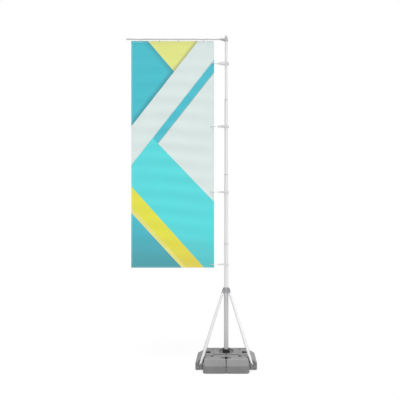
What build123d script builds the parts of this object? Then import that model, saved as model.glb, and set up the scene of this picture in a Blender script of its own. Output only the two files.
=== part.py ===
"""Telescopic banner mast with a water-filled two-half base, a swivelling top arm and a hung banner.

Millimetres. The origin is on the ground under the mast. +X points away from the banner,
+Y points to the back and +Z points up.
"""

from math import atan2, cos, hypot, sin
import os

from build123d import *

os.makedirs("parts", exist_ok=True)

# ---------------------------------------------------------------- driving dimensions
# Base tanks
lobe_x = 333.0
lobe_top_x = 316.0
lobe_y = 300.0
lobe_r = 45.0
wall_z = 110.0
deck_edge_y = 250.0
deck_edge_z = 187.0
deck_z = 207.0
wing_x = 450.0
wing_y = 152.0
wing_edge_z = 142.0
ledge_y = 208.0
ledge_z0 = 40.0
ledge_z1 = 104.0
seam_gap = 0.5
groove_top = 8.0
groove_foot = 12.0
groove_depth = 22.0
plateau_x = 188.0
plateau_y = 115.0
plateau_z = 222.0
pocket_x = 109.0
pocket_y = 95.0
pocket_z = 212.0
tank_wall = 8.0
mould_r = 14.0
rim_r = 3.0
well_rim_r = 2.0
filler_x = 270.0
well_r = 38.0
well_z = 187.0
neck_r = 23.0
key_y = 195.0
key_half = 78.0
key_z0 = 160.0
key_top = 185.0
key_bar = 15.0
key_grip = 42.0
key_grip_r = 20.0
key_hole_r = 13.0
dimple_x = 202.0
dimple_y = 148.0
dimple_depth = 16.0

# Mast socket and base tube
socket_r = 50.0
socket_top = 262.0
socket_block = 104.0
foot_plate_r = 75.0
foot_plate_t = 6.0
base_tube_r = 34.0
base_tube_wall = 1.7
base_tube_top = 1130.0

# Telescoping sections: outer radius, wall, bottom and top height
section_1 = (32.0, 1.5, 540.0, 1840.0)
section_2 = (30.0, 1.5, 1630.0, 2880.0)
section_3 = (27.5, 1.4, 2765.0, 4007.0)
section_4 = (20.5, 1.4, 3887.0, 4893.0)
guide_lip = 4.0

# Struts
foot_x = 372.0
foot_y = 200.0
foot_z = 98.0
pivot_r = 54.0
pivot_z = 1125.0
strut_r = 19.0
strut_wall = 1.7
eye_half = 10.0
jaw_half = 14.0
tube_start = 18.0
tube_stop = 32.0
foot_pin_r = 6.0
slot_half = 27.0
slot_in = 352.0
shelf_z0 = 40.0
shelf_z1 = 80.0
shelf_out = 440.0
cheek_half = 42.0
cheek_z = 118.0

# Collar
collar_z0 = 1117.0
collar_z1 = 1187.0
collar_r = 38.0
lug_r = 9.0
collar_screw_z = 1168.0

# Swivel head and arm
arm_z = 4935.0
arm_r = 13.0
arm_tip = 1510.0
arm_root = 34.0
arm_screw_x = -70.0
head_r = 26.0
head_z0 = 4899.3
head_z1 = 4962.0
nut_z = 4930.0
boss_r = 17.0
boss_end = 88.0
total_height = 5000.0

# Banner
banner_x0 = -1434.0
banner_x1 = -182.0
banner_z0 = 1482.0
banner_z1 = 4906.0
hem_z = 4866.0
panel_t = 1.2
hem_t = 3.0
clip_xs = (-1292.0, -1005.0, -721.0, -340.0)
clip_eye_z = 4896.0
clip_eye_r = 8.0
tie_zs = (4566.0, 3615.0, 2625.0, 1530.0)
tie_eye_x = -224.0
strap_half = 12.0
strap_end_half = 7.0
strap_shift = 6.0

# ---------------------------------------------------------------- derived values
foot_r = hypot(foot_x, foot_y)
tilt = atan2(foot_r - pivot_r, pivot_z - foot_z)
strut_length = hypot(foot_r - pivot_r, pivot_z - foot_z)
corners = {"front_left": (-1, -1), "front_right": (1, -1), "rear_left": (-1, 1), "rear_right": (1, 1)}


def save(name, built):
    """Label one sub-part and write its STEP file."""
    built.part.label = name
    export_step(built.part, f"parts/{name}.step")


def tube(outer_r, inner_r, z0, z1):
    """A plain round tube on the mast axis."""
    with BuildPart() as made:
        with BuildSketch(Plane.XY.offset(z0)):
            Circle(outer_r)
            Circle(inner_r, mode=Mode.SUBTRACT)
        extrude(amount=z1 - z0)
    return made


def radial(side_x, side_y):
    """Unit vector of the strut direction in plan, and the level tangent to it."""
    ux = side_x * foot_x / foot_r
    uy = side_y * foot_y / foot_r
    return Vector(ux, uy, 0), Vector(-uy, ux, 0)


def strut_plane(side_x, side_y, along=0.0):
    """Plane on the strut axis: local Z runs down the strut, local X is the pivot axis."""
    out, tangent = radial(side_x, side_y)
    down = out * sin(tilt) + Vector(0, 0, -cos(tilt))
    start = out * pivot_r + Vector(0, 0, pivot_z)
    return Plane(origin=start + down * along, x_dir=tangent, z_dir=down)


def tangent_plane(side_x, side_y, radius, height, shift=0.0):
    """Plane whose normal is the level tangent at one strut end."""
    out, tangent = radial(side_x, side_y)
    spot = out * radius + Vector(0, 0, height) + tangent * shift
    return Plane(origin=spot, x_dir=out, z_dir=tangent)


def corner_plane(side_x, side_y, height):
    """Level plane at the mast axis with local X along the strut direction."""
    out, _ = radial(side_x, side_y)
    return Plane(origin=(0, 0, height), x_dir=out, z_dir=(0, 0, 1))


# ---------------------------------------------------------------- base tanks
def central_lobe(side, wall=0.0):
    """Middle block of one tank with sloped front and back faces, or its inside at a wall depth."""
    seam = seam_gap + wall
    out_x = lobe_x - wall
    out_y = lobe_y - wall
    with BuildPart() as lobe:
        with BuildSketch(Plane.XY):
            with Locations((side * (out_x + seam) / 2, 0)):
                Rectangle(out_x - seam, 2 * out_y)
            far = [v for v in vertices() if abs(v.X) > lobe_x / 2]
            fillet(far, radius=lobe_r - wall)
        extrude(amount=deck_z)
        with BuildSketch(Plane.YZ):
            with BuildLine():
                Polyline(
                    (-out_y, 10 + wall), (-out_y, wall_z - wall / 2),
                    (-deck_edge_y - 6 + wall, deck_edge_z - 5 - wall / 2),
                    (-deck_edge_y + wall / 2, deck_edge_z - wall), (-plateau_y, deck_z - wall),
                    (plateau_y, deck_z - wall), (deck_edge_y - wall / 2, deck_edge_z - wall),
                    (deck_edge_y + 6 - wall, deck_edge_z - 5 - wall / 2), (out_y, wall_z - wall / 2),
                    (out_y, 10 + wall), (out_y - 10, wall), (-out_y + 10, wall),
                    close=True,
                )
            make_face()
        extrude(amount=lobe_x + 5, both=True, mode=Mode.INTERSECT)
        with BuildSketch(Plane.XZ):
            with BuildLine():
                Polyline(
                    (0, wall), (side * (out_x - 10), wall), (side * out_x, 10 + wall),
                    (side * out_x, wall_z - wall / 2), (side * (lobe_top_x - wall), deck_z - 14 - wall / 2),
                    (side * (lobe_top_x - 14 - wall / 2), deck_z - wall), (0, deck_z - wall),
                    close=True,
                )
            make_face()
        extrude(amount=lobe_y + 5, both=True, mode=Mode.INTERSECT)
        if wall == 0:
            fillet(lobe.edges().filter_by(lambda e: abs(e.center().X) > 5), radius=mould_r)
    return lobe.part


def side_lobe(side):
    """Outer wing of one tank: its top rolls off from the deck outwards and to the front and back."""
    inner = lobe_top_x - 60
    with BuildPart() as wing:
        with BuildSketch(Plane.XY):
            with Locations((side * (inner + wing_x) / 2, 0)):
                Rectangle(wing_x - inner, 2 * ledge_y)
            far = [v for v in vertices() if abs(v.X) > wing_x - 1]
            fillet(far, radius=38)
        extrude(amount=deck_z)
        with BuildSketch(Plane.XZ):
            with BuildLine():
                Spline(
                    (side * (lobe_top_x - 16), deck_z - 2), (side * (lobe_top_x + 20), deck_z - 14),
                    (side * (wing_x - 34), wing_edge_z + 6), (side * wing_x, wing_edge_z - 48),
                    tangents=((side, 0), (0, -1)),
                )
                Polyline(
                    (side * wing_x, wing_edge_z - 48), (side * wing_x, 10), (side * (wing_x - 10), 0),
                    (side * inner, 0), (side * inner, deck_z - 2), (side * (lobe_top_x - 16), deck_z - 2),
                )
            make_face()
        extrude(amount=ledge_y + 5, both=True, mode=Mode.INTERSECT)
        with BuildSketch(Plane.YZ):
            with BuildLine():
                for rear in (-1, 1):
                    Spline(
                        (rear * ledge_y, ledge_z1 - 18), (rear * (ledge_y - 10), ledge_z1 + 18),
                        (rear * (wing_y + 16), wing_edge_z + 26), (rear * (wing_y - 48), deck_z + 10),
                        tangents=((0, 1), (-rear * 0.8, 0.6)),
                    )
                Line((-wing_y + 48, deck_z + 10), (wing_y - 48, deck_z + 10))
                Polyline(
                    (ledge_y, ledge_z1 - 18), (ledge_y, ledge_z0), (wing_y, ledge_z0), (wing_y, 0),
                    (-wing_y, 0), (-wing_y, ledge_z0), (-ledge_y, ledge_z0), (-ledge_y, ledge_z1 - 18),
                )
            make_face()
        extrude(amount=wing_x + 5, both=True, mode=Mode.INTERSECT)
    return wing.part


def side_space(side):
    """Ballast space inside the wing."""
    inner = lobe_top_x - 60
    out_x = wing_x - tank_wall
    with BuildPart() as space:
        with BuildSketch(Plane.XY):
            with Locations((side * (inner + out_x) / 2, 0)):
                Rectangle(out_x - inner, 2 * (wing_y - tank_wall - 6))
            far = [v for v in vertices() if abs(v.X) > out_x - 1]
            fillet(far, radius=40)
        extrude(amount=deck_z)
        with BuildSketch(Plane.XZ):
            with BuildLine():
                Polyline(
                    (side * inner, tank_wall), (side * (out_x - 10), tank_wall), (side * out_x, 10 + tank_wall),
                    (side * out_x, wing_edge_z - 60), (side * (out_x - 14), wing_edge_z - 26),
                    (side * (out_x - 36), wing_edge_z - 10), (side * (lobe_top_x + 20), deck_z - 30),
                    (side * inner, deck_z - 18), close=True,
                )
            make_face()
        extrude(amount=wing_y, both=True, mode=Mode.INTERSECT)
        with BuildSketch(Plane.YZ):
            Polygon((-wing_y, 0), (-wing_y, wing_edge_z - 22), (-wing_y + 62, deck_z - 4), (wing_y - 62, deck_z - 4),
                    (wing_y, wing_edge_z - 22), (wing_y, 0), align=None)
        extrude(amount=wing_x, both=True, mode=Mode.INTERSECT)
    return space.part


def seam_groove(margin=0.0):
    """Cutter for the front and back seam grooves, which widen towards the ground."""
    depth = groove_depth + margin
    with BuildPart() as groove:
        with BuildSketch(Plane.XZ):
            Polygon((-groove_foot - margin, -1), (groove_foot + margin, -1), (groove_top + margin, key_z0 + 26),
                    (-groove_top - margin, key_z0 + 26), align=None)
        extrude(amount=lobe_y + 5, both=True)
        with BuildSketch(Plane.YZ):
            Polygon((-lobe_y + depth, -5), (-lobe_y + depth, wall_z - 6), (-deck_edge_y + depth - 4, deck_edge_z - 6),
                    (-deck_edge_y + depth, 230), (deck_edge_y - depth, 230),
                    (deck_edge_y - depth + 4, deck_edge_z - 6), (lobe_y - depth, wall_z - 6), (lobe_y - depth, -5),
                    align=None)
        extrude(amount=60, both=True, mode=Mode.SUBTRACT)
    return groove.part


def cavity(side):
    """Ballast space inside one tank, kept clear of every pocket by the wall."""
    with BuildPart() as space:
        add(central_lobe(side, tank_wall))
        add(side_space(side))
        with BuildSketch(Plane.XY):
            Circle(socket_r + tank_wall)
        extrude(amount=plateau_z, mode=Mode.SUBTRACT)
        with BuildSketch(Plane.XY):
            Circle(foot_plate_r + tank_wall)
        extrude(amount=foot_plate_t + tank_wall, mode=Mode.SUBTRACT)
        with BuildSketch(Plane.XY.offset(well_z - tank_wall)):
            with Locations((side * filler_x, 0)):
                Circle(well_r + tank_wall)
        extrude(amount=60, mode=Mode.SUBTRACT)
        for rear in (-1, 1):
            with BuildSketch(Plane.XY.offset(key_z0 - tank_wall)):
                with Locations((0, rear * key_y)):
                    RectangleRounded(2 * (key_half + tank_wall), 2 * (key_grip + tank_wall), 20)
            extrude(amount=80, mode=Mode.SUBTRACT)
            with BuildSketch(Plane.XY.offset(deck_z - dimple_depth - tank_wall)):
                with Locations((side * dimple_x, rear * dimple_y)):
                    RectangleRounded(62, 44, 16)
            extrude(amount=40, mode=Mode.SUBTRACT)
            with BuildSketch(corner_plane(side, rear, shelf_z1 - tank_wall)):
                with Locations(((slot_in - tank_wall + 600) / 2, 0)):
                    Rectangle(600 - slot_in + tank_wall, 2 * (slot_half + tank_wall))
            extrude(amount=200, mode=Mode.SUBTRACT)
        add(seam_groove(tank_wall), mode=Mode.SUBTRACT)
    return space.part


def key_outline(margin):
    """Lens-shaped outline of a lock key with a long grip across its middle, grown by a margin."""
    Ellipse(key_half + margin, key_bar + margin)
    SlotOverall(2 * (key_grip + margin), 2 * (key_grip_r + margin), rotation=90)


def tank(side):
    """One hollow base half."""
    with BuildPart() as half:
        add(central_lobe(side))
        add(side_lobe(side))
        for rear in (-1, 1):
            with BuildSketch(corner_plane(side, rear, shelf_z0)):
                with Locations(((300 + shelf_out) / 2, 0)):
                    Rectangle(shelf_out - 300, 2 * cheek_half)
                far = [v for v in vertices() if hypot(v.X, v.Y) > shelf_out - 5]
                fillet(far, radius=14)
            extrude(amount=cheek_z - shelf_z0)
        # raised plateau round the mast socket
        with BuildSketch(Plane.XY.offset(deck_z - 10)):
            RectangleRounded(2 * plateau_x, 2 * plateau_y, 34)
            with Locations((-side * (plateau_x + 10), 0)):
                Rectangle(2 * (plateau_x + 10) + 2 * seam_gap, 3 * plateau_y, mode=Mode.SUBTRACT)
        extrude(amount=plateau_z - deck_z + 10)
        top = half.faces().sort_by(Axis.Z)[-1]
        fillet(top.edges().filter_by(lambda e: abs(e.center().X) > 5), radius=5)
        # strut channels and their cross-pin holes
        for rear in (-1, 1):
            with BuildSketch(corner_plane(side, rear, shelf_z1)):
                with Locations(((slot_in + 600) / 2, 0)):
                    Rectangle(600 - slot_in, 2 * slot_half)
            extrude(amount=200, mode=Mode.SUBTRACT)
            with BuildSketch(tangent_plane(side, rear, foot_r, foot_z)):
                Circle(foot_pin_r)
            extrude(amount=slot_half + 11, both=True, mode=Mode.SUBTRACT)
        # stadium pocket, socket bore and foot-plate recess
        with BuildSketch(Plane.XY.offset(pocket_z)):
            RectangleRounded(2 * pocket_x, 2 * pocket_y, 62)
        extrude(amount=60, mode=Mode.SUBTRACT)
        with BuildSketch(Plane.XY.offset(-1)):
            Circle(socket_r + 0.3)
        extrude(amount=300, mode=Mode.SUBTRACT)
        with BuildSketch(Plane.XY.offset(-1)):
            Circle(foot_plate_r + 1)
        extrude(amount=foot_plate_t + 1, mode=Mode.SUBTRACT)
        rim = half.faces().sort_by(Axis.Z)[-1].edges()
        inside = rim.filter_by(lambda e: abs(e.center().Y) < pocket_y + 2 and 60 < abs(e.center().X) < pocket_x + 2)
        fillet(inside, radius=rim_r)
        # filler well and neck
        with BuildSketch(Plane.XY.offset(well_z)):
            with Locations((side * filler_x, 0)):
                Circle(well_r)
        extrude(amount=60, mode=Mode.SUBTRACT)
        with BuildSketch(Plane.XY.offset(well_z - tank_wall - 0.5)):
            with Locations((side * filler_x, 0)):
                Circle(neck_r)
        extrude(amount=60, mode=Mode.SUBTRACT)
        # lock-key pockets, stacking dimples and the seam groove
        for rear in (-1, 1):
            with BuildSketch(Plane.XY.offset(key_z0)):
                with Locations((0, rear * key_y)):
                    key_outline(1.0)
            extrude(amount=80, mode=Mode.SUBTRACT)
            with BuildSketch(Plane.XY.offset(deck_z - dimple_depth)):
                with Locations((side * dimple_x, rear * dimple_y)):
                    SlotOverall(46, 28)
            extrude(amount=40, mode=Mode.SUBTRACT)
        add(seam_groove(), mode=Mode.SUBTRACT)
        with BuildSketch(Plane.XZ):
            Polygon((-7, 230), (0, 190), (7, 230), align=None)
        extrude(amount=lobe_y + 5, both=True, mode=Mode.SUBTRACT)
        # softened rims of the filler well and the lock-key pockets
        rims = half.edges().filter_by(lambda e: e.center().Z > well_z + 8)
        well = rims.filter_by(lambda e: abs(hypot(e.center().X - side * filler_x, e.center().Y)) < well_r + 3)
        fillet(well, radius=well_rim_r)
        for rear in (-1, 1):
            rims = half.edges().filter_by(lambda e: e.center().Z > key_top and 2 < abs(e.center().X) < key_half + 6)
            pocket = rims.filter_by(lambda e: abs(e.center().Y - rear * key_y) < key_grip + 3 and e.length > 3)
            fillet(pocket, radius=1)
        add(cavity(side), mode=Mode.SUBTRACT)
    return half


for side, name in ((-1, "left"), (1, "right")):
    save(f"tank_{name}", tank(side))

    with BuildPart() as ballast:
        add(cavity(side))
    save(f"ballast_{name}", ballast)

    with BuildPart() as filler_cap:
        with BuildSketch(Plane.XY.offset(well_z + 3)):
            with Locations((side * filler_x, 0)):
                Circle(34)
        extrude(amount=9)
        with BuildSketch(Plane.XY.offset(well_z - tank_wall)):
            with Locations((side * filler_x, 0)):
                Circle(neck_r - 0.6)
        extrude(amount=tank_wall + 3)
        with BuildSketch(Plane.XY.offset(well_z + 12)):
            with Locations((side * filler_x, 0)):
                Rectangle(54, 9)
        extrude(amount=7)
    save(f"filler_cap_{name}", filler_cap)

    with BuildPart() as gasket:
        with BuildSketch(Plane.XY.offset(well_z)):
            with Locations((side * filler_x, 0)):
                Circle(28)
                Circle(neck_r + 0.4, mode=Mode.SUBTRACT)
        extrude(amount=3)
    save(f"cap_gasket_{name}", gasket)

for rear, name in ((-1, "front"), (1, "rear")):
    with BuildPart() as lock_key:
        with BuildSketch(Plane.XY.offset(key_z0 + 0.3)):
            with Locations((0, rear * key_y)):
                key_outline(0.0)
                Circle(key_hole_r, mode=Mode.SUBTRACT)
        extrude(amount=key_top - key_z0 - 0.3)
    save(f"lock_key_{name}", lock_key)

# ---------------------------------------------------------------- mast socket and base tube
with BuildPart() as mast_socket:
    with BuildSketch(Plane.XY):
        Circle(foot_plate_r)
    extrude(amount=foot_plate_t)
    with BuildSketch(Plane.XY.offset(foot_plate_t)):
        Circle(socket_r)
    extrude(amount=socket_top - foot_plate_t)
    with BuildSketch(Plane.XY.offset(pocket_z + 0.4)):
        RectangleRounded(socket_block, socket_block, 22)
    extrude(amount=socket_top - pocket_z - 0.4)
    fillet(mast_socket.edges().group_by(Axis.Z)[-1], radius=5)
    with BuildSketch(Plane.XY.offset(12)):
        Circle(base_tube_r + 0.2)
    extrude(amount=socket_top, mode=Mode.SUBTRACT)
save("mast_socket", mast_socket)

save("base_tube", tube(base_tube_r, base_tube_r - base_tube_wall, 12, base_tube_top))

with BuildPart() as foot_pins:
    for side_x, side_y in corners.values():
        with BuildSketch(tangent_plane(side_x, side_y, foot_r, foot_z)):
            Circle(foot_pin_r)
        extrude(amount=slot_half + 11, both=True)
save("foot_pins", foot_pins)

# ---------------------------------------------------------------- strut collar
with BuildPart() as strut_collar:
    with BuildSketch(Plane.XY.offset(collar_z0)):
        Circle(collar_r)
    extrude(amount=45)
    with BuildSketch(Plane.XY.offset(collar_z0 + 45)):
        Circle(collar_r)
    extrude(amount=collar_z1 - collar_z0 - 45, taper=4)
    for side_x, side_y in corners.values():
        for shift in (-eye_half - 5.6, eye_half + 0.6):
            # local Y points down: a fin slopes from the ring's top to the pivot
            with BuildSketch(tangent_plane(side_x, side_y, pivot_r, pivot_z, shift)):
                Circle(lug_r)
                Polygon((-18, -56), (-13, -56), (8, -12), (lug_r, 0), (0, lug_r), (-18, lug_r), align=None)
            extrude(amount=5)
        with BuildSketch(tangent_plane(side_x, side_y, pivot_r, pivot_z)):
            Circle(4)
        extrude(amount=eye_half + 8, both=True, mode=Mode.SUBTRACT)
    with BuildSketch(Plane.XY.offset(collar_z0 - 20)):
        Circle(base_tube_r + 0.3)
    extrude(amount=base_tube_top - collar_z0 + 20, mode=Mode.SUBTRACT)
    with BuildSketch(Plane.XY.offset(base_tube_top - 1)):
        Circle(section_1[0] + 0.3)
    extrude(amount=80, mode=Mode.SUBTRACT)
    with BuildSketch(Plane.XZ.offset(-30)):
        with Locations((0, collar_screw_z)):
            Circle(3)
    extrude(amount=-30, mode=Mode.SUBTRACT)
save("strut_collar", strut_collar)

with BuildPart() as collar_screw:
    with BuildSketch(Plane.XZ.offset(-section_1[0] - 0.4)):
        with Locations((0, collar_screw_z)):
            Circle(2.9)
    extrude(amount=section_1[0] - collar_r)
    with BuildSketch(Plane.XZ.offset(-collar_r - 0.4)):
        with Locations((0, collar_screw_z)):
            Circle(7)
    extrude(amount=-7)
save("collar_screw", collar_screw)

with BuildPart() as pivot_bolts:
    for side_x, side_y in corners.values():
        with BuildSketch(tangent_plane(side_x, side_y, pivot_r, pivot_z)):
            Circle(4)
        extrude(amount=eye_half + 5.6, both=True)
        with BuildSketch(tangent_plane(side_x, side_y, pivot_r, pivot_z, eye_half + 5.6)):
            Circle(7)
        extrude(amount=4)
        with BuildSketch(tangent_plane(side_x, side_y, pivot_r, pivot_z, -eye_half - 5.6)):
            RegularPolygon(7.4, 6)
        extrude(amount=-5)
save("pivot_bolts", pivot_bolts)

# ---------------------------------------------------------------- struts
for name, (side_x, side_y) in corners.items():
    with BuildPart() as strut_tube:
        with BuildSketch(strut_plane(side_x, side_y, tube_start)):
            Circle(strut_r)
            Circle(strut_r - strut_wall, mode=Mode.SUBTRACT)
        extrude(amount=strut_length - tube_start - tube_stop)
    save(f"strut_tube_{name}", strut_tube)

    with BuildPart() as strut_eye:
        with BuildSketch(strut_plane(side_x, side_y)):
            Rectangle(2 * eye_half, 18)
        extrude(amount=tube_start - 4)
        with BuildSketch(tangent_plane(side_x, side_y, pivot_r, pivot_z)):
            Circle(10.5)
        extrude(amount=eye_half, both=True)
        with BuildSketch(strut_plane(side_x, side_y, tube_start - 4)):
            Circle(strut_r)
        extrude(amount=4)
        with BuildSketch(strut_plane(side_x, side_y, tube_start)):
            Circle(strut_r - strut_wall - 0.1)
        extrude(amount=40)
        with BuildSketch(tangent_plane(side_x, side_y, pivot_r, pivot_z)):
            Circle(4.4)
        extrude(amount=eye_half + 5, both=True, mode=Mode.SUBTRACT)
    save(f"strut_eye_{name}", strut_eye)

    with BuildPart() as strut_jaw:
        with BuildSketch(strut_plane(side_x, side_y, strut_length - tube_stop - 40)):
            Circle(strut_r - strut_wall - 0.1)
        extrude(amount=40)
        with BuildSketch(strut_plane(side_x, side_y, strut_length - tube_stop)):
            Circle(strut_r)
        extrude(amount=8)
        with BuildSketch(strut_plane(side_x, side_y, strut_length - tube_stop + 8)):
            Rectangle(2 * jaw_half, 28)
        extrude(amount=tube_stop - 8)
        with BuildSketch(tangent_plane(side_x, side_y, foot_r, foot_z)):
            Circle(14)
        extrude(amount=jaw_half, both=True)
        with BuildSketch(tangent_plane(side_x, side_y, foot_r, foot_z)):
            Circle(foot_pin_r + 0.5)
        extrude(amount=jaw_half + 5, both=True, mode=Mode.SUBTRACT)
        with BuildSketch(strut_plane(side_x, side_y, strut_length - foot_pin_r - 0.5)):
            with Locations((0, -20)):
                Rectangle(2 * jaw_half + 10, 40)
        extrude(amount=2 * foot_pin_r + 1, mode=Mode.SUBTRACT)
    save(f"strut_jaw_{name}", strut_jaw)

# ---------------------------------------------------------------- telescoping sections
sections = (section_1, section_2, section_3, section_4)
for number, (outer, wall, z0, z1) in enumerate(sections, start=1):
    save(f"mast_section_{number}", tube(outer, outer - wall, z0, z1))

# Guide rings at the open tops: lip on the tube end, sleeve inside where there is room
for number in (1, 2, 3):
    outer, wall, _, z1 = sections[number - 1]
    inner = sections[number][0] + 0.6
    with BuildPart() as guide_ring:
        with BuildSketch(Plane.XY.offset(z1)):
            Circle(outer)
            Circle(inner, mode=Mode.SUBTRACT)
        extrude(amount=guide_lip)
        if outer - wall - 0.1 > inner + 0.6:
            with BuildSketch(Plane.XY.offset(z1 - 42)):
                Circle(outer - wall - 0.1)
                Circle(inner, mode=Mode.SUBTRACT)
            extrude(amount=42)
    save(f"guide_ring_{number}", guide_ring)

# Twist-lock expanders in the bottoms of the moving sections
for number in (2, 3, 4):
    outer, wall, z0, _ = sections[number - 1]
    below_outer, below_wall, _, _ = sections[number - 2]
    with BuildPart() as expander:
        with BuildSketch(Plane.XY.offset(z0 - 17)):
            Circle(below_outer - below_wall - 0.3)
        extrude(amount=17)
        with BuildSketch(Plane.XY.offset(z0)):
            Circle(outer - wall - 0.1)
        extrude(amount=25)
        with BuildSketch(Plane.XY.offset(z0 - 17)):
            Circle(6)
        extrude(amount=50, mode=Mode.SUBTRACT)
    save(f"expander_{number}", expander)

# ---------------------------------------------------------------- swivel head
spigot_flange = section_4[3]
with BuildPart() as swivel_spigot:
    with BuildSketch(Plane.XY.offset(spigot_flange - 45)):
        Circle(section_4[0] - section_4[1] - 0.1)
    extrude(amount=45)
    with BuildSketch(Plane.XY.offset(spigot_flange)):
        Circle(24)
    extrude(amount=4)
    with BuildSketch(Plane.XY.offset(spigot_flange + 4)):
        Circle(10)
    extrude(amount=49)
save("swivel_spigot", swivel_spigot)

save("thrust_washer", tube(24, 10.1, spigot_flange + 4, spigot_flange + 6))

with BuildPart() as spigot_nut:
    with BuildSketch(Plane.XY.offset(nut_z)):
        RegularPolygon(15.5, 6)
        Circle(10, mode=Mode.SUBTRACT)
    extrude(amount=10)
save("spigot_nut", spigot_nut)

with BuildPart() as swivel_head:
    with BuildSketch(Plane.XY.offset(head_z0)):
        Circle(head_r)
    extrude(amount=head_z1 - head_z0)
    fillet(swivel_head.edges().group_by(Axis.Z)[-1], radius=7)
    with BuildSketch(Plane.YZ.offset(-boss_end)):
        with Locations((0, arm_z)):
            Circle(boss_r)
    extrude(amount=boss_end - 10)
    with BuildSketch(Plane.XZ):
        with BuildLine():
            Polyline(
                (-boss_end + 2, arm_z - 12), (-20, head_z0 + 2), (-20, head_z1 - 6),
                (-boss_end + 2, arm_z + 12), close=True,
            )
        make_face()
    extrude(amount=6, both=True)
    with BuildSketch(Plane.YZ.offset(-boss_end - 1)):
        with Locations((0, arm_z)):
            Circle(arm_r + 0.1)
    extrude(amount=boss_end + 1 - arm_root, mode=Mode.SUBTRACT)
    with BuildSketch(Plane.XY.offset(head_z0 - 1)):
        Circle(10.5)
    extrude(amount=80, mode=Mode.SUBTRACT)
    with BuildSketch(Plane.XY.offset(nut_z - 0.4)):
        Circle(17)
    extrude(amount=60, mode=Mode.SUBTRACT)
    with BuildSketch(Plane.XY.offset(arm_z)):
        with Locations((arm_screw_x, 0)):
            Circle(3)
    extrude(amount=40, mode=Mode.SUBTRACT)
save("swivel_head", swivel_head)

with BuildPart() as arm_screw:
    with BuildSketch(Plane.XY.offset(arm_z + arm_r + 0.3)):
        with Locations((arm_screw_x, 0)):
            Circle(2.9)
    extrude(amount=6.2)
    with BuildSketch(Plane.XY.offset(arm_z + arm_r + 6.5)):
        with Locations((arm_screw_x, 0)):
            RegularPolygon(6, 6)
    extrude(amount=4)
save("arm_screw", arm_screw)

with BuildPart() as finial:
    with BuildSketch(Plane.XZ):
        with BuildLine():
            Polyline((0, head_z1 - 10), (16.8, head_z1 - 10), (16.8, head_z1), (18, head_z1), (18, head_z1 + 5),
                     (14, head_z1 + 9), (13, head_z1 + 22))
            Spline((13, head_z1 + 22), (12, head_z1 + 30), (7, head_z1 + 36.4), (0, total_height),
                   tangents=((0, 1), (-1, 0)))
            Line((0, total_height), (0, head_z1 - 10))
        make_face()
    revolve(axis=Axis.Z)
save("finial", finial)

with BuildPart() as arm_tube:
    with BuildSketch(Plane.YZ.offset(-arm_tip + 10)):
        with Locations((0, arm_z)):
            Circle(arm_r)
            Circle(arm_r - 1.6, mode=Mode.SUBTRACT)
    extrude(amount=arm_tip - 10 - arm_root)
save("arm_tube", arm_tube)

with BuildPart() as arm_end_cap:
    with BuildSketch(Plane.YZ.offset(-arm_tip)):
        with Locations((0, arm_z)):
            Circle(arm_r)
    extrude(amount=10)
    fillet(arm_end_cap.edges().group_by(Axis.X)[0], radius=5)
    with BuildSketch(Plane.YZ.offset(-arm_tip + 10)):
        with Locations((0, arm_z)):
            Circle(arm_r - 1.7)
    extrude(amount=25)
save("arm_end_cap", arm_end_cap)

# ---------------------------------------------------------------- banner and its fixings
banner_mid = (banner_x0 + banner_x1) / 2
banner_width = banner_x1 - banner_x0

with BuildPart() as banner_panel:
    with BuildSketch(Plane.XZ):
        with Locations((banner_mid, (banner_z0 + hem_z) / 2)):
            Rectangle(banner_width, hem_z - banner_z0)
        with Locations(*[(tie_eye_x, z) for z in tie_zs]):
            Circle(13, mode=Mode.SUBTRACT)
    extrude(amount=panel_t / 2, both=True)
save("banner_panel", banner_panel)

with BuildPart() as banner_hem:
    with BuildSketch(Plane.XZ):
        with Locations((banner_mid, (hem_z + banner_z1) / 2)):
            Rectangle(banner_width, banner_z1 - hem_z)
        with Locations(*[(x, clip_eye_z) for x in clip_xs]):
            Circle(clip_eye_r, mode=Mode.SUBTRACT)
    extrude(amount=hem_t / 2, both=True)
save("banner_hem", banner_hem)

with BuildPart() as top_eyelets:
    with BuildSketch(Plane.XZ):
        with Locations(*[(x, clip_eye_z) for x in clip_xs]):
            Circle(clip_eye_r)
            Circle(4.6, mode=Mode.SUBTRACT)
    extrude(amount=2.2, both=True)
save("top_eyelets", top_eyelets)


def loop_outline(centre_a, radius_a, centre_b, radius_b, mode=Mode.ADD):
    """Outline wrapped round two circles, in the current sketch."""
    with Locations(centre_a):
        Circle(radius_a, mode=mode)
    with Locations(centre_b):
        Circle(radius_b, mode=mode)
    gap = hypot(centre_b[0] - centre_a[0], centre_b[1] - centre_a[1])
    ex = (centre_b[0] - centre_a[0]) / gap
    ey = (centre_b[1] - centre_a[1]) / gap
    lean = (radius_a - radius_b) / gap
    rise = (1 - lean * lean) ** 0.5
    outline = []
    for hand in (1, -1):
        nx = ex * lean - ey * rise * hand
        ny = ey * lean + ex * rise * hand
        pair = [
            (centre_a[0] + radius_a * nx, centre_a[1] + radius_a * ny),
            (centre_b[0] + radius_b * nx, centre_b[1] + radius_b * ny),
        ]
        outline += pair if hand == 1 else pair[::-1]
    Polygon(*outline, align=None, mode=mode)


with BuildPart() as arm_clips:
    for clip_x in clip_xs:
        with BuildSketch(Plane.YZ.offset(clip_x)):
            loop_outline((0, arm_z), 16.5, (0, clip_eye_z + 2), 5)
        extrude(amount=3, both=True)
        with BuildSketch(Plane.YZ.offset(clip_x)):
            loop_outline((0, arm_z), 14, (0, clip_eye_z + 2), 2.5)
        extrude(amount=8, both=True, mode=Mode.SUBTRACT)
save("arm_clips", arm_clips)

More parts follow.
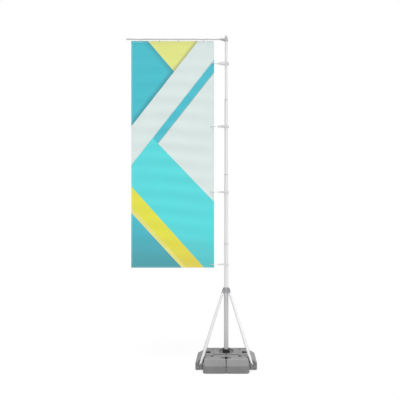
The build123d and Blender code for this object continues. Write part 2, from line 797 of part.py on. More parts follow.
for number, tie_z in enumerate(tie_zs, start=1):
    with BuildPart() as tie_strap:
        with BuildSketch(Plane.XY.offset(tie_z)):
            loop_outline((strap_shift, 0), 37, (-125, 0), 12)
        extrude(amount=strap_half, both=True)
        with BuildSketch(Plane.XZ):
            with Locations((0, tie_z)):
                Polygon((-140, -strap_end_half), (-60, -strap_half), (45, -strap_half), (45, strap_half),
                        (-60, strap_half), (-140, strap_end_half), align=None)
        extrude(amount=45, both=True, mode=Mode.INTERSECT)
        with BuildSketch(Plane.XY.offset(tie_z)):
            loop_outline((strap_shift, 0), 33.5, (-125, 0), 8.5)
        extrude(amount=20, both=True, mode=Mode.SUBTRACT)
        with BuildSketch(Plane.YZ.offset(-145)):
            with Locations((0, tie_z)):
                Circle(3.4)
        extrude(amount=20, mode=Mode.SUBTRACT)
    save(f"tie_strap_{number}", tie_strap)

    with BuildPart() as tie_hook:
        with BuildSketch(Plane.XY.offset(tie_z)):
            with Locations((-195, 0)):
                SlotOverall(70, 23)
                SlotOverall(60, 13, mode=Mode.SUBTRACT)
        extrude(amount=3.2, both=True)
        fillet(tie_hook.edges().filter_by(GeomType.LINE), radius=1.2)
        with BuildSketch(Plane.YZ.offset(-164)):
            with Locations((0, tie_z)):
                Circle(3)
        extrude(amount=36)
        with BuildSketch(Plane.YZ.offset(-131.5)):
            with Locations((0, tie_z)):
                Circle(5)
        extrude(amount=3.5)
        with BuildSketch(Plane.XZ):
            with Locations((tie_eye_x, tie_z)):
                Circle(13)
                Circle(8, mode=Mode.SUBTRACT)
        extrude(amount=2, both=True)
    save(f"tie_hook_{number}", tie_hook)
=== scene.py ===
"""Looks of a telescopic banner mast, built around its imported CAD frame. Metres, +Z up."""

import math

import bpy
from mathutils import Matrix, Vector


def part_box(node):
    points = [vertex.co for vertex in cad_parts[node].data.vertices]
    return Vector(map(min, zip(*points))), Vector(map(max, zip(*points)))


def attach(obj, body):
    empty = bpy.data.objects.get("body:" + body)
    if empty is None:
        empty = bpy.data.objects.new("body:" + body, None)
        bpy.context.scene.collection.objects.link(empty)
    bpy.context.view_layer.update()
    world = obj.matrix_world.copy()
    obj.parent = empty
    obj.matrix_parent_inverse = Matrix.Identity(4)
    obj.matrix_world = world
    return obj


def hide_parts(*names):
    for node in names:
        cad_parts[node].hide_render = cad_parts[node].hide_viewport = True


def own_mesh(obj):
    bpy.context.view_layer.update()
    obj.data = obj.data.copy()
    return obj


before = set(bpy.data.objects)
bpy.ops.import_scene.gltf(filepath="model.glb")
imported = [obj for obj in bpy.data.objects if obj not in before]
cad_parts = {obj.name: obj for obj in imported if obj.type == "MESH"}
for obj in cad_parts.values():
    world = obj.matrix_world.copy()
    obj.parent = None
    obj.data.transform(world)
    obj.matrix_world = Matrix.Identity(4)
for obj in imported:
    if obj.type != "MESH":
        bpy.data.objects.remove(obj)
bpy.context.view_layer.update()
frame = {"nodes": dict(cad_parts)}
nodes = frame["nodes"]

# ---------------------------------------------------------------- driving values
CAMERA_DISTANCE = 4.76
CAMERA_HEIGHT = 1.90
LENS = 28.35
SHIFT_X = -0.0655
SHIFT_Y = 0.100

# Light: the white surroundings' strength at the left and right, a wide high sun and a soft front lamp
WORLD_LEFT = 0.55
WORLD_RIGHT = 1.0
SUN_FROM = (0.05, -0.22, 1.0)
SUN_STRENGTH = 3.2
SUN_SPREAD = 35
LAMP_AT = (1.5, -7.0, 3.5)
LAMP_AIM = (0, 0, 2.0)
LAMP_SIZE = 4.0
LAMP_POWER = 12

# Floor: its size, and the distances over which it fades from pale to white
FLOOR_SIZE = 120
FLOOR_FADE_FROM = 0.9
FLOOR_FADE_TO = 4.0
FLOOR_GLOW = 0.88

# The cloth's own sizes
CLOTH_THICKNESS = 0.0011
HEM_WIDTH = 0.022
HEM_THICKNESS = 0.0024
RIPPLE = 0.0032
CLOTH_COLUMNS = 96
CLOTH_ROWS = 300
HEM_ROWS = 4

RECESS_DEPTH = 0.045
# Near-black tone of the painted shade on the floors of the base's recesses
RECESS_PAINTED_SHADE = (0.02, 0.02, 0.02, 1.0)
# Recesses of the base whose floors get painted shade, the same in each quarter: centre x and y, half
# sizes along x and y, top height, and share of the painted shade.
RECESSES = (
    (0.0, 0.0, 0.112, 0.098, 0.2135, 0.5),
    (0.202, 0.148, 0.026, 0.017, 0.2055, 0.75),
    (0.270, 0.0, 0.041, 0.041, 0.2050, 0.85),
)

# Tie strap: its middle line wraps a circle round the mast and a small one at the hook
STRAP_MAST_R = 0.0353
STRAP_HOOK_R = 0.0102
STRAP_SHIFT = 0.006
STRAP_REACH = 0.131
STRAP_HALF = 0.012
STRAP_END_HALF = 0.007
STRAP_THICKNESS = 0.0024
STRAP_EDGE = 0.0009
STRAP_EDGE_CREST = 0.0002
STRAP_PINCH = 0.0004
STRAP_TAPER_FROM = -0.060
STRAP_TAPER_RUN = 0.080
STRAP_LAP = 0.0013
STRAP_LAP_FROM = -0.108
STRAP_LAP_TO = -0.052
STRAP_TURNS = 48
STRAP_END_TURNS = 18
STRAP_RUNS = 24


def srgb(red, green, blue, gain=1.0):
    """Linear colour from 8-bit display values."""
    parts = []
    for value in (red, green, blue):
        value = value / 255
        linear = value / 12.92 if value <= 0.04045 else ((value + 0.055) / 1.055) ** 2.4
        parts.append(min(1.0, linear * gain))
    return (*parts, 1.0)


# ---------------------------------------------------------------- node graph helper
class Graph:
    """A material with one Principled shader and short calls for its node tree."""

    def __init__(self, name, roughness=0.5, metallic=0.0, **sockets):
        self.material = bpy.data.materials.new(name)
        self.material.use_nodes = True
        tree = self.material.node_tree
        self.nodes = tree.nodes
        self.links = tree.links
        self.nodes.clear()
        self.output = self.add("OutputMaterial")
        self.shader = self.add("BsdfPrincipled")
        self.links.new(self.shader.outputs[0], self.output.inputs[0])
        self.shader.inputs["Roughness"].default_value = roughness
        self.shader.inputs["Metallic"].default_value = metallic
        for socket, value in sockets.items():
            self.shader.inputs[socket.replace("_", " ")].default_value = value
        self.place = self.add("TexCoord").outputs["Object"]

    def add(self, kind, **settings):
        node = self.nodes.new("ShaderNode" + kind)
        for key, value in settings.items():
            setattr(node, key, value)
        return node

    def feed(self, socket, value):
        if isinstance(value, bpy.types.NodeSocket):
            self.links.new(value, socket)
        else:
            socket.default_value = value

    def math(self, operation, first, second=0.0, clamp=False):
        node = self.add("Math", operation=operation, use_clamp=clamp)
        self.feed(node.inputs[0], first)
        self.feed(node.inputs[1], second)
        return node.outputs[0]

    def ramp(self, value, low, high, out_low=0.0, out_high=1.0, smooth=False):
        """Clamped map of a value from low..high to out_low..out_high."""
        node = self.add("MapRange", clamp=True)
        if smooth:
            node.interpolation_type = "SMOOTHSTEP"
        self.feed(node.inputs["Value"], value)
        limits = {"From Min": low, "From Max": high, "To Min": out_low, "To Max": out_high}
        for socket, number in limits.items():
            node.inputs[socket].default_value = number
        return node.outputs["Result"]

    def mix(self, factor, first, second, blend="MIX"):
        node = self.add("MixRGB", blend_type=blend)
        self.feed(node.inputs["Fac"], factor)
        self.feed(node.inputs["Color1"], first)
        self.feed(node.inputs["Color2"], second)
        return node.outputs["Color"]

    def stretched(self, scale, place=None):
        node = self.add("Mapping")
        self.links.new(place or self.place, node.inputs["Vector"])
        node.inputs["Scale"].default_value = scale
        return node.outputs["Vector"]

    def noise(self, scale, detail=3.0, roughness=0.5, place=None):
        node = self.add("TexNoise")
        self.links.new(place or self.place, node.inputs["Vector"])
        node.inputs["Scale"].default_value = scale
        node.inputs["Detail"].default_value = detail
        node.inputs["Roughness"].default_value = roughness
        return node.outputs["Fac"]

    def bump(self, height, distance, strength=1.0, under=None):
        node = self.add("Bump")
        self.feed(node.inputs["Height"], height)
        node.inputs["Distance"].default_value = distance
        node.inputs["Strength"].default_value = strength
        if under is not None:
            self.links.new(under, node.inputs["Normal"])
        return node.outputs["Normal"]

    def finish(self, colour=None, roughness=None, normal=None):
        if colour is not None:
            self.feed(self.shader.inputs["Base Color"], colour)
        if roughness is not None:
            self.feed(self.shader.inputs["Roughness"], roughness)
        if normal is not None:
            self.links.new(normal, self.shader.inputs["Normal"])
        return self.material


# ---------------------------------------------------------------- materials
def moulded_plastic(name, light, dark, rough_low, rough_high, grain=0.00035, recesses=()):
    """Rotomoulded plastic: fine leather grain, cloudy tone, faint handling scuffs and painted shade on
    recess floors.
    """
    g = Graph(name, roughness=rough_low)
    clouds = g.noise(5.0, 4.0, 0.6)
    tone = g.mix(g.ramp(clouds, 0.3, 0.7), dark, light)
    scuffs = g.ramp(g.noise(26.0, 6.0, 0.75, g.stretched((1.0, 1.0, 0.35))), 0.62, 0.74)
    pale = tuple(min(1.0, c * 1.35 + 0.02) for c in light[:3]) + (1.0,)
    tone = g.mix(g.math("MULTIPLY", scuffs, 0.22), tone, pale)
    split = g.add("SeparateXYZ")
    g.links.new(g.place, split.inputs[0])
    far_x, far_y = (g.math("ABSOLUTE", split.outputs[axis]) for axis in "XY")
    # painted shade: inside each listed recess box the tone is mixed towards near-black by the given share
    for x, y, half_x, half_y, top, share in recesses:
        inside = g.math("LESS_THAN", g.math("ABSOLUTE", g.math("SUBTRACT", far_x, x)), half_x)
        for test in (g.math("LESS_THAN", g.math("ABSOLUTE", g.math("SUBTRACT", far_y, y)), half_y),
                     g.math("LESS_THAN", split.outputs["Z"], top),
                     g.math("GREATER_THAN", split.outputs["Z"], top - RECESS_DEPTH)):
            inside = g.math("MULTIPLY", inside, test)
        tone = g.mix(g.math("MULTIPLY", inside, share), tone, RECESS_PAINTED_SHADE)
    fine = g.noise(850.0, 2.0, 0.5)
    mid = g.noise(210.0, 3.0, 0.55)
    height = g.math("ADD", g.math("MULTIPLY", fine, 0.6), g.math("MULTIPLY", mid, 0.4))
    rough = g.ramp(g.noise(9.0, 4.0, 0.6), 0.3, 0.7, rough_low, rough_high)
    return g.finish(tone, rough, g.bump(height, grain, 0.7))


def drawn_aluminium(name, light, dark, axis_scale, rough=0.34, metallic=0.85):
    """Satin anodised tube: fine lines along the drawing direction and faint finger marks."""
    g = Graph(name, roughness=rough, metallic=metallic, Specular_IOR_Level=0.35)
    lines = g.noise(1.0, 4.0, 0.65, g.stretched(axis_scale))
    clouds = g.noise(7.0, 3.0, 0.55)
    tone = g.mix(g.ramp(lines, 0.25, 0.75), dark, light)
    tone = g.mix(g.ramp(clouds, 0.45, 0.8, 0.0, 0.18), tone, dark)
    marks = g.ramp(g.noise(22.0, 5.0, 0.7), 0.55, 0.75, rough, rough + 0.14)
    return g.finish(tone, marks, g.bump(lines, 0.00006, 0.5))


def cast_metal(name, light, dark, rough=0.5):
    """Coated casting: orange-peel skin with slightly worn high spots."""
    g = Graph(name, roughness=rough, metallic=0.35)
    peel = g.noise(420.0, 3.0, 0.5)
    wear = g.ramp(g.noise(60.0, 6.0, 0.75), 0.6, 0.75)
    tone = g.mix(g.ramp(g.noise(30.0, 3.0), 0.3, 0.7), dark, light)
    pale = tuple(min(1.0, c * 2.2 + 0.03) for c in light[:3]) + (1.0,)
    tone = g.mix(g.math("MULTIPLY", wear, 0.35), tone, pale)
    return g.finish(tone, g.ramp(wear, 0.0, 1.0, rough, rough - 0.14), g.bump(peel, 0.00025, 0.6))


def plated_steel(name, light, dark, rough=0.3):
    """Zinc or nickel plate with fine random scratches."""
    g = Graph(name, roughness=rough, metallic=1.0)
    scratch = g.ramp(g.noise(1.0, 5.0, 0.8, g.stretched((900.0, 120.0, 120.0))), 0.4, 0.65)
    tone = g.mix(g.noise(80.0, 3.0), dark, light)
    return g.finish(tone, g.ramp(scratch, 0.0, 1.0, rough, rough + 0.15), g.bump(scratch, 0.00003, 0.4))


def soft_rubber(name, light, dark):
    """Matt black rubber with a dusty bloom."""
    g = Graph(name, roughness=0.85)
    bloom = g.ramp(g.noise(40.0, 5.0, 0.7), 0.5, 0.8)
    tone = g.mix(g.math("MULTIPLY", bloom, 0.5), dark, light)
    return g.finish(tone, None, g.bump(g.noise(600.0, 2.0), 0.0002, 0.5))


def woven_webbing(name, light, dark, rib=0.0016):
    """Ribbed polyester webbing: ribs across the strap, a woven edge, box stitching and loose fibres."""
    g = Graph(name, roughness=0.8, Sheen_Weight=0.2, Sheen_Roughness=0.5)
    place = g.add("UVMap", uv_map="strap").outputs["UV"]
    split = g.add("SeparateXYZ")
    g.links.new(place, split.inputs[0])
    along, edge = split.outputs["X"], split.outputs["Y"]
    ribs = g.ramp(g.math("PINGPONG", along, rib / 2), 0.0, rib / 2, smooth=True)
    weave = g.ramp(g.math("PINGPONG", edge, 0.0011), 0.0, 0.0011)
    fibres = g.noise(900.0, 3.0, 0.6)
    tone = g.mix(ribs, dark, light)
    tone = g.mix(g.ramp(fibres, 0.5, 0.8, 0.0, 0.3), tone, light)
    selvedge = g.ramp(edge, 0.0012, 0.0020, 1.0, 0.0)
    tone = g.mix(g.math("MULTIPLY", selvedge, 0.35), tone, dark)
    thread = g.ramp(g.math("ABSOLUTE", g.math("SUBTRACT", edge, 0.0035)), 0.0004, 0.0009, 1.0, 0.0)
    beat = g.ramp(g.math("FRACT", g.math("MULTIPLY", along, 260.0)), 0.6, 0.7, 1.0, 0.0)
    thread = g.math("MULTIPLY", thread, beat)
    tone = g.mix(g.math("MULTIPLY", thread, 0.6), tone, (0.85, 0.85, 0.85, 1.0))
    height = g.math("ADD", ribs, g.math("MULTIPLY", weave, 0.4))
    normal = g.bump(g.math("ADD", height, g.math("MULTIPLY", fibres, 0.4)), 0.0004, 0.7)
    return g.finish(tone, None, g.bump(thread, 0.0005, 0.6, normal))


LIGHT_GAIN = 0.87
TEAL = srgb(74, 191, 204, LIGHT_GAIN)
TEAL_SHADE = srgb(66, 158, 172, LIGHT_GAIN)
TEAL_STRIPE = srgb(77, 191, 207, LIGHT_GAIN)
TEAL_LOW = srgb(80, 158, 168, LIGHT_GAIN)
PALE = srgb(218, 231, 228, LIGHT_GAIN)
PALE_SHADE = srgb(196, 204, 199, LIGHT_GAIN)
SOFT_YELLOW = srgb(232, 235, 138, LIGHT_GAIN)
SOFT_YELLOW_SHADE = srgb(184, 188, 122, LIGHT_GAIN)
AQUA = srgb(92, 219, 222, LIGHT_GAIN)
AQUA_LOW = srgb(92, 196, 200, LIGHT_GAIN)
STRONG_YELLOW = srgb(227, 225, 74, LIGHT_GAIN)
STRONG_YELLOW_LOW = srgb(222, 205, 84, LIGHT_GAIN)
PALE_YELLOW = srgb(229, 222, 130, LIGHT_GAIN)
EDGE_BROWN = srgb(150, 146, 140, LIGHT_GAIN)
INK_GREY = (0.25, 0.27, 0.27, 1.0)

# Diagonal fold lines of the printed pattern, as two points in metres from the cloth's top
# outer corner: (across, down).
BAND_TOP = ((0.0, 1.290), (1.010, 0.0))
TRIANGLE_EDGE = ((0.253, 0.0), (0.648, 0.462))
STRIPE_TOP = ((0.0, 1.877), (1.252, 0.285))
STRIPE_LOW = ((0.4055, 1.541), (1.252, 0.469))
AQUA_EDGE = ((0.328, 1.469), (1.252, 2.430))
YELLOW_TOP = ((0.0, 2.197), (1.0995, 3.424))
YELLOW_MID = ((0.0, 2.507), (0.833, 3.424))
YELLOW_LOW = ((0.0, 2.595), (0.765, 3.424))
PRINT_EDGE = 0.0015


def banner_cloth():
    """Printed knitted polyester with a pattern of overlapping colour fields and sewn hems."""
    g = Graph("banner_cloth_print", roughness=0.85, Specular_IOR_Level=0.2, Sheen_Weight=0.04,
              Sheen_Roughness=0.6)
    art = g.add("UVMap", uv_map="print").outputs["UV"]
    split = g.add("SeparateXYZ")
    g.links.new(art, split.inputs[0])
    across, down = split.outputs["X"], split.outputs["Y"]

    def below(line):
        """Signed distance to a line, positive on its lower side."""
        (ax, ay), (bx, by) = line
        length = math.hypot(bx - ax, by - ay)
        nx, ny = -(by - ay) / length, (bx - ax) / length
        value = g.math("MULTIPLY_ADD", across, nx)
        value.node.inputs[2].default_value = -(ax * nx + ay * ny)
        return g.math("ADD", value, g.math("MULTIPLY", down, ny))

    def inside(distance):
        return g.ramp(distance, -PRINT_EDGE, PRINT_EDGE)

    band, triangle = below(BAND_TOP), below(TRIANGLE_EDGE)
    stripe, stripe_low = below(STRIPE_TOP), below(STRIPE_LOW)
    aqua, yellow = below(AQUA_EDGE), below(YELLOW_TOP)
    yellow_mid, yellow_low = below(YELLOW_MID), below(YELLOW_LOW)

    # teal field with the shadows of the band and of the triangle
    tone = g.mix(g.ramp(band, -0.085, -0.004, 0.0, 1.0, True), TEAL, TEAL_SHADE)
    tone = g.mix(g.ramp(triangle, 0.10, 0.0, 0.0, 0.65, True), tone, TEAL_SHADE)
    # soft yellow triangle with a fine dotted mesh
    dots = g.add("TexVoronoi", feature="F1")
    g.links.new(art, dots.inputs["Vector"])
    dots.inputs["Scale"].default_value = 90.0
    dots.inputs["Randomness"].default_value = 0.0
    dot_share = g.ramp(dots.outputs["Distance"], 0.2, 0.45, 0.0, 0.22)
    mesh_tone = g.mix(dot_share, SOFT_YELLOW, SOFT_YELLOW_SHADE)
    mesh_tone = g.mix(g.ramp(band, -0.060, -0.002, 0.0, 1.0, True), mesh_tone, SOFT_YELLOW_SHADE)
    tone = g.mix(g.math("SUBTRACT", 1.0, inside(triangle)), tone, mesh_tone)
    # pale band, stripe and pale field
    band_tone = g.mix(g.ramp(stripe, -0.018, -0.001, 0.0, 0.6, True), PALE, PALE_SHADE)
    tone = g.mix(inside(band), tone, band_tone)
    tone = g.mix(inside(stripe), tone, TEAL_STRIPE)
    field = g.mix(g.ramp(stripe_low, 0.012, 0.0, 0.0, 0.9), PALE, EDGE_BROWN)
    tone = g.mix(inside(stripe_low), tone, field)
    # aqua field, darker towards the hem
    aqua_tone = g.mix(g.ramp(down, 2.75, 3.45, 0.0, 1.0, True), AQUA, AQUA_LOW)
    tone = g.mix(g.math("MULTIPLY", inside(aqua), inside(stripe)), tone, aqua_tone)
    # yellow stripe with its paler fold, and the teal corner
    strong = g.mix(g.ramp(down, 2.9, 3.45), STRONG_YELLOW, STRONG_YELLOW_LOW)
    tone = g.mix(inside(yellow), tone, strong)
    tone = g.mix(inside(yellow_mid), tone, PALE_YELLOW)
    corner = g.mix(g.ramp(down, 2.65, 3.40), TEAL_STRIPE, TEAL_LOW)
    tone = g.mix(inside(yellow_low), tone, corner)
    # ink density varies a little from stitch to stitch
    ink = g.ramp(g.noise(3.0, 4.0, 0.6, art), 0.35, 0.75, 0.0, 0.05)
    tone = g.mix(ink, tone, INK_GREY)

    # knit: columns of loops and rows between them, and two stitch rows along each hem
    loops = g.add("TexWave", wave_type="BANDS", bands_direction="X")
    rows = g.add("TexWave", wave_type="BANDS", bands_direction="Y")
    for wave in (loops, rows):
        g.links.new(art, wave.inputs["Vector"])
        wave.inputs["Scale"].default_value = 110.0
        wave.inputs["Distortion"].default_value = 0.5
    knit = g.math("MULTIPLY", loops.outputs["Fac"], rows.outputs["Fac"])
    hem = g.add("UVMap", uv_map="hem").outputs["UV"]
    hem_split = g.add("SeparateXYZ")
    g.links.new(hem, hem_split.inputs[0])
    edge, along = hem_split.outputs["X"], hem_split.outputs["Y"]
    stitch = None
    for row in (HEM_WIDTH - 0.003, HEM_WIDTH - 0.007):
        line = g.ramp(g.math("ABSOLUTE", g.math("SUBTRACT", edge, row)), 0.0005, 0.0011, 1.0, 0.0)
        stitch = line if stitch is None else g.math("MAXIMUM", stitch, line)
    beat = g.ramp(g.math("FRACT", g.math("MULTIPLY", along, 230.0)), 0.62, 0.72, 1.0, 0.0)
    stitch = g.math("MULTIPLY", stitch, beat)
    tone = g.mix(g.math("MULTIPLY", stitch, 0.5), tone, PALE)
    normal = g.bump(knit, 0.00012, 0.35)
    normal = g.bump(stitch, 0.0006, 0.6, normal)
    return g.finish(tone, None, normal)


GREY_PLASTIC = moulded_plastic("tank_grey", srgb(117, 117, 117), srgb(107, 107, 107), 0.52, 0.66,
                               recesses=RECESSES)
BLACK_PLASTIC = moulded_plastic("socket_black", (0.017, 0.017, 0.018, 1), (0.009, 0.009, 0.010, 1),
                                0.5, 0.66, 0.0002)
# Lock keys and filler caps: black plastic made darker than the socket, partly their own colour and partly
# painted shade of the recesses they sit in
KEY_BLACK_AND_SHADE = moulded_plastic("key_black_and_painted_shade", (0.008, 0.008, 0.008, 1), (0.004, 0.004, 0.004, 1),
                              0.6, 0.75, 0.0002)
WATER_FILL = moulded_plastic("water_fill", (0.45, 0.55, 0.6, 1), (0.4, 0.5, 0.55, 1), 0.2, 0.3)
RUBBER = soft_rubber("gasket_rubber", (0.06, 0.06, 0.06, 1), (0.015, 0.015, 0.015, 1))
# Noise scales that draw fine lines along upright and level tubes
UPRIGHT = (520.0, 520.0, 6.0)
LEVEL = (6.0, 520.0, 520.0)
SILVER = drawn_aluminium("mast_silver", (0.72, 0.72, 0.73, 1), (0.63, 0.63, 0.64, 1), UPRIGHT, 0.55, 0.15)
BASE_GREY = drawn_aluminium("base_tube_grey", (0.54, 0.54, 0.55, 1), (0.47, 0.47, 0.48, 1),
                            UPRIGHT, 0.5, 0.25)
ARM_SILVER = drawn_aluminium("arm_silver", (0.60, 0.60, 0.61, 1), (0.51, 0.51, 0.52, 1), LEVEL, 0.5, 0.25)
STRUT_SILVER = drawn_aluminium("strut_silver", (0.74, 0.74, 0.74, 1), (0.66, 0.66, 0.67, 1),
                               UPRIGHT, 0.45, 0.3)
COLLAR_CAST = cast_metal("collar_casting", (0.36, 0.36, 0.37, 1), (0.29, 0.29, 0.30, 1))
HEAD_CAST = cast_metal("head_casting", (0.48, 0.48, 0.49, 1), (0.40, 0.40, 0.41, 1), 0.5)
STEEL = plated_steel("plated_steel", (0.62, 0.62, 0.61, 1), (0.50, 0.50, 0.50, 1))
BRIGHT_STEEL = plated_steel("bright_steel", (0.75, 0.75, 0.74, 1), (0.62, 0.62, 0.62, 1), 0.2)
HOOK_STEEL = plated_steel("hook_steel", (0.64, 0.64, 0.64, 1), (0.54, 0.54, 0.54, 1), 0.4)
WEBBING = woven_webbing("tie_webbing", (0.80, 0.80, 0.80, 1), (0.56, 0.56, 0.56, 1))
CLOTH = banner_cloth()

NODE_MATERIALS = {
    "tank_": GREY_PLASTIC,
    "ballast_": WATER_FILL,
    "mast_socket": BLACK_PLASTIC,
    # filler caps and lock keys: near-black plastic that is partly painted shade
    "filler_cap_": KEY_BLACK_AND_SHADE,
    "lock_key_": KEY_BLACK_AND_SHADE,
    "guide_ring_": BLACK_PLASTIC,
    "expander_": BLACK_PLASTIC,
    "thrust_washer": BLACK_PLASTIC,
    "arm_end_cap": ARM_SILVER,
    "cap_gasket_": RUBBER,
    "base_tube": BASE_GREY,
    "mast_section_": SILVER,
    "swivel_spigot": SILVER,
    "arm_tube": ARM_SILVER,
    "strut_tube_": STRUT_SILVER,
    "strut_jaw_": STRUT_SILVER,
    "strut_collar": COLLAR_CAST,
    "strut_eye_": COLLAR_CAST,
    "swivel_head": HEAD_CAST,
    "finial": HEAD_CAST,
    "foot_pins": STEEL,
    "collar_screw": STEEL,
    "pivot_bolts": STEEL,
    "spigot_nut": STEEL,
    "arm_screw": STEEL,
    "top_eyelets": BRIGHT_STEEL,
    "arm_clips": BRIGHT_STEEL,
    "tie_hook_": HOOK_STEEL,
    "tie_strap_": WEBBING,
    "banner_": CLOTH,
}


def paint_nodes():
    """Gives every carried-over CAD node its procedural material."""
    for name, node in nodes.items():
        prefix = max((key for key in NODE_MATERIALS if name.startswith(key)), key=len)
        node.data.materials.clear()
        node.data.materials.append(NODE_MATERIALS[prefix])


# ---------------------------------------------------------------- banner cloth
def cloth_wave(across, down, width, length):
    """Small out-of-plane ripple of the hung cloth: level swells and faint upright flutes."""
    swell = math.sin(2 * math.pi * down / 0.235 + 1.4 * math.sin(2.1 * across + 0.6 * down))
    flute = math.sin(2 * math.pi * across / 0.39 + 0.9 * math.sin(1.7 * down))
    belly = math.sin(math.pi * across / width) * math.sin(math.pi * down / length)
    return RIPPLE * (0.75 * swell + 0.25 * flute) * (0.35 + 0.65 * belly)


def sheet_mesh(name, low, high, columns, rows, top, wave, hems):
    """A closed thin cloth from low to high corner, with thicker hems and two UV maps."""
    (x0, z0), (x1, z1) = low, high
    width = x1 - x0
    across = [width * i / columns for i in range(columns + 1)]
    down = [(z1 - z0) * j / rows for j in range(rows + 1)]
    for hem_at in (HEM_WIDTH - 0.0004, HEM_WIDTH + 0.0004):
        if "side" in hems:
            across += [hem_at, width - hem_at]
        if "bottom" in hems:
            down.append(z1 - z0 - hem_at)
    across, down = sorted(across), sorted(down)
    verts, faces = [], []
    for side in (-1, 1):
        for v in down:
            for u in across:
                near = min(u, width - u) if "side" in hems else 1.0
                if "bottom" in hems:
                    near = min(near, z1 - z0 - v)
                if hems == "all":
                    near = 0.0
                half = (HEM_THICKNESS if near <= HEM_WIDTH else CLOTH_THICKNESS) / 2
                y = side * half + wave(u, v + top - z1)
                verts.append((x0 + u, y, z1 - v))
    nu, nv = len(across), len(down)
    for side in (0, 1):
        base = side * nu * nv
        for j in range(nv - 1):
            for i in range(nu - 1):
                a = base + j * nu + i
                quad = (a, a + nu, a + nu + 1, a + 1)
                faces.append(quad if side == 0 else quad[::-1])
    rim = [j * nu for j in range(nv)]
    rim += [(nv - 1) * nu + i for i in range(1, nu)]
    rim += [j * nu + nu - 1 for j in range(nv - 2, -1, -1)]
    rim += [i for i in range(nu - 2, 0, -1)]
    far = nu * nv
    for k, a in enumerate(rim):
        b = rim[(k + 1) % len(rim)]
        faces.append((b, a, a + far, b + far))
    mesh = bpy.data.meshes.new(name)
    mesh.from_pydata(verts, [], faces)
    mesh.update()
    print_map = mesh.uv_layers.new(name="print")
    hem_map = mesh.uv_layers.new(name="hem")
    length = top - z0
    for loop in mesh.loops:
        x, _, z = verts[loop.vertex_index]
        u, v = x - x0, top - z
        print_map.data[loop.index].uv = (u, v)
        sides = ((u, v), (width - u, v), (length - v, u), (v, u))
        hem_map.data[loop.index].uv = min(sides)
    for polygon in mesh.polygons:
        polygon.use_smooth = True
    mesh.set_sharp_from_angle(angle=math.radians(35))
    piece = bpy.data.objects.new(name, mesh)
    bpy.context.scene.collection.objects.link(piece)
    mesh.materials.append(CLOTH)
    return piece


def make_banner():
    low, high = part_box("banner_panel")
    hem_low, hem_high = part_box("banner_hem")
    width = high[0] - low[0]
    length = hem_high[2] - low[2]

    def wave(u, v):
        settle = min(1.0, max(0.0, (v - 0.04) / 0.25))
        return settle * cloth_wave(u, v, width, length)

    panel = sheet_mesh("banner_panel_cloth", (low[0], low[2]), (high[0], high[2]),
                       CLOTH_COLUMNS, CLOTH_ROWS,
                       hem_high[2], wave, ("side", "bottom"))
    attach(panel, "swivel")
    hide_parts("banner_panel")
    hem = sheet_mesh("banner_hem_cloth", (hem_low[0], hem_low[2]), (hem_high[0], hem_high[2]),
                     CLOTH_COLUMNS, HEM_ROWS,
                     hem_high[2], lambda u, v: 0.0, "all")
    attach(hem, "swivel")
    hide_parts("banner_hem")
    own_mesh(panel)


# ---------------------------------------------------------------- tie straps
def strap_ring():
    """Points and outward normals of the strap's middle line round the mast and back to the hook."""
    lean = (STRAP_MAST_R - STRAP_HOOK_R) / STRAP_REACH
    turn = math.acos(lean)
    path = []
    for k in range(STRAP_TURNS + 1):
        angle = (math.pi - turn) * (2 * k / STRAP_TURNS - 1)
        normal = (math.cos(angle), math.sin(angle))
        path.append((STRAP_MAST_R * normal[0], STRAP_MAST_R * normal[1], *normal))
    far = []
    for k in range(STRAP_END_TURNS + 1):
        angle = math.pi - turn + 2 * turn * k / STRAP_END_TURNS
        normal = (math.cos(angle), math.sin(angle))
        far.append((STRAP_HOOK_R * normal[0] - STRAP_REACH, STRAP_HOOK_R * normal[1], *normal))

    def straight(start, end):
        shares = [k / STRAP_RUNS for k in range(1, STRAP_RUNS)]
        return [tuple(a + (b - a) * share for a, b in zip(start, end)) for share in shares]

    path += straight(path[-1], far[0]) + far + straight(far[-1], path[0])
    return [(x + STRAP_SHIFT, y, nx, ny) for x, y, nx, ny in path]


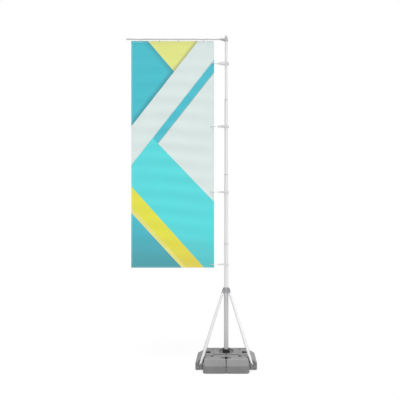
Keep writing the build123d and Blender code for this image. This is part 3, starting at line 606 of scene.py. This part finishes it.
def make_strap(number):
    """One hook-end strap: a tapered webbing band with rounded edges, closed round the mast."""
    node = f"tie_strap_{number}"
    low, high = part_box(node)
    middle = (low[2] + high[2]) / 2
    half_t = STRAP_THICKNESS / 2
    path = strap_ring()
    verts, faces, places = [], [], []
    run = 0.0
    for k, (x, y, nx, ny) in enumerate(path):
        if k:
            run += math.hypot(x - path[k - 1][0], y - path[k - 1][1])
        taper = min(1.0, max(0.0, (STRAP_TAPER_FROM - x) / STRAP_TAPER_RUN))
        half = STRAP_HALF + (STRAP_END_HALF - STRAP_HALF) * taper
        pinch = STRAP_PINCH * math.sin(run * 95 + number)
        lap = STRAP_LAP if ny < 0 and STRAP_LAP_FROM < x < STRAP_LAP_TO else 0.0
        section = []
        for edge, side in ((1, 1), (-1, 1), (-1, -1), (1, -1)):
            outer = half_t + lap if side > 0 else half_t
            corner = [(outer, half - STRAP_EDGE), (outer * 0.6, half - STRAP_EDGE_CREST)]
            if edge * side < 0:
                corner.reverse()
            section += [(side * t, edge * h) for t, h in corner]
        for t, h in section:
            verts.append((x + nx * (t + pinch), y + ny * (t + pinch), middle + h))
            places.append((run, half - abs(h)))
    size, count = 8, len(path)
    for k in range(count):
        after = (k + 1) % count
        for j in range(size):
            step = (j + 1) % size
            faces.append((k * size + j, after * size + j, after * size + step, k * size + step))
    mesh = bpy.data.meshes.new(f"tie_webbing_{number}")
    mesh.from_pydata(verts, [], faces)
    mesh.update()
    strap_map = mesh.uv_layers.new(name="strap")
    run += math.hypot(path[0][0] - path[-1][0], path[0][1] - path[-1][1])
    for polygon in mesh.polygons:
        polygon.use_smooth = True
        closing = polygon.index >= size * (count - 1)
        for index in polygon.loop_indices:
            vertex = mesh.loops[index].vertex_index
            along, edge = places[vertex]
            strap_map.data[index].uv = (run if closing and vertex < size else along, edge)
    mesh.set_sharp_from_angle(angle=math.radians(50))
    mesh.materials.append(WEBBING)
    piece = bpy.data.objects.new(mesh.name, mesh)
    bpy.context.scene.collection.objects.link(piece)
    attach(piece, f"tie_{number}")
    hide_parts(node)


# ---------------------------------------------------------------- stage, light and camera
def stage_floor():
    """Pale floor that fades to the white backdrop away from the object."""
    bpy.ops.mesh.primitive_plane_add(size=FLOOR_SIZE, location=(0, 0, 0))
    floor = bpy.context.object
    floor.name = "studio_floor"
    g = Graph("studio_floor_white", roughness=0.9)
    g.shader.inputs["Base Color"].default_value = (0.60, 0.60, 0.60, 1)
    glow = g.add("Emission")
    glow.inputs["Color"].default_value = (1, 1, 1, 1)
    glow.inputs["Strength"].default_value = 1.0
    blend = g.add("MixShader")
    distance = g.add("VectorMath", operation="LENGTH")
    g.links.new(g.place, distance.inputs[0])
    fade = g.ramp(distance.outputs["Value"], FLOOR_FADE_FROM, FLOOR_FADE_TO, FLOOR_GLOW, 1.0, True)
    g.links.new(fade, blend.inputs[0])
    g.links.new(g.shader.outputs[0], blend.inputs[1])
    g.links.new(glow.outputs[0], blend.inputs[2])
    g.links.new(blend.outputs[0], g.output.inputs[0])
    floor.data.materials.append(g.material)


def studio_world():
    """White surroundings; what lights the object is a little darker on the left behind the camera."""
    world = bpy.data.worlds.new("studio")
    bpy.context.scene.world = world
    world.use_nodes = True
    nodes, links = world.node_tree.nodes, world.node_tree.links
    back = nodes["Background"]

    place = nodes.new("ShaderNodeTexCoord")
    split = nodes.new("ShaderNodeSeparateXYZ")
    links.new(place.outputs["Generated"], split.inputs[0])
    share = nodes.new("ShaderNodeMapRange")
    links.new(split.outputs["X"], share.inputs["Value"])
    limits = {"From Min": -1.0, "From Max": 0.5, "To Min": WORLD_LEFT, "To Max": WORLD_RIGHT}
    for socket, number in limits.items():
        share.inputs[socket].default_value = number
    most = nodes.new("ShaderNodeMath")
    most.operation = "MAXIMUM"
    links.new(share.outputs["Result"], most.inputs[0])
    links.new(nodes.new("ShaderNodeLightPath").outputs["Is Camera Ray"], most.inputs[1])
    links.new(most.outputs[0], back.inputs["Strength"])
    back.inputs["Color"].default_value = (1, 1, 1, 1)


def area_light(name, place, target, size, power):
    data = bpy.data.lights.new(name, "AREA")
    data.size = size
    data.energy = power
    lamp = bpy.data.objects.new(name, data)
    lamp.location = place
    lamp.rotation_euler = (Vector(target) - Vector(place)).to_track_quat("-Z", "Y").to_euler()
    bpy.context.scene.collection.objects.link(lamp)


def soft_sun(name, direction, strength):
    data = bpy.data.lights.new(name, "SUN")
    data.angle = math.radians(SUN_SPREAD)
    data.energy = strength
    lamp = bpy.data.objects.new(name, data)
    lamp.rotation_euler = (-Vector(direction)).to_track_quat("-Z", "Y").to_euler()
    bpy.context.scene.collection.objects.link(lamp)


def studio_camera():
    data = bpy.data.cameras.new("photo_camera")
    data.sensor_width = 36.0
    data.lens = LENS
    data.shift_x = SHIFT_X
    data.shift_y = SHIFT_Y
    data.clip_end = 200
    camera = bpy.data.objects.new("photo_camera", data)
    camera.location = (0, -CAMERA_DISTANCE, CAMERA_HEIGHT)
    camera.rotation_euler = (math.pi / 2, 0, 0)
    bpy.context.scene.collection.objects.link(camera)
    bpy.context.scene.camera = camera


paint_nodes()
make_banner()
for tie in range(1, 5):
    make_strap(tie)
stage_floor()
studio_world()
soft_sun("high_sun", SUN_FROM, SUN_STRENGTH)
area_light("front_light", LAMP_AT, LAMP_AIM, LAMP_SIZE, LAMP_POWER)
studio_camera()
bpy.context.scene.view_settings.view_transform = "Standard"
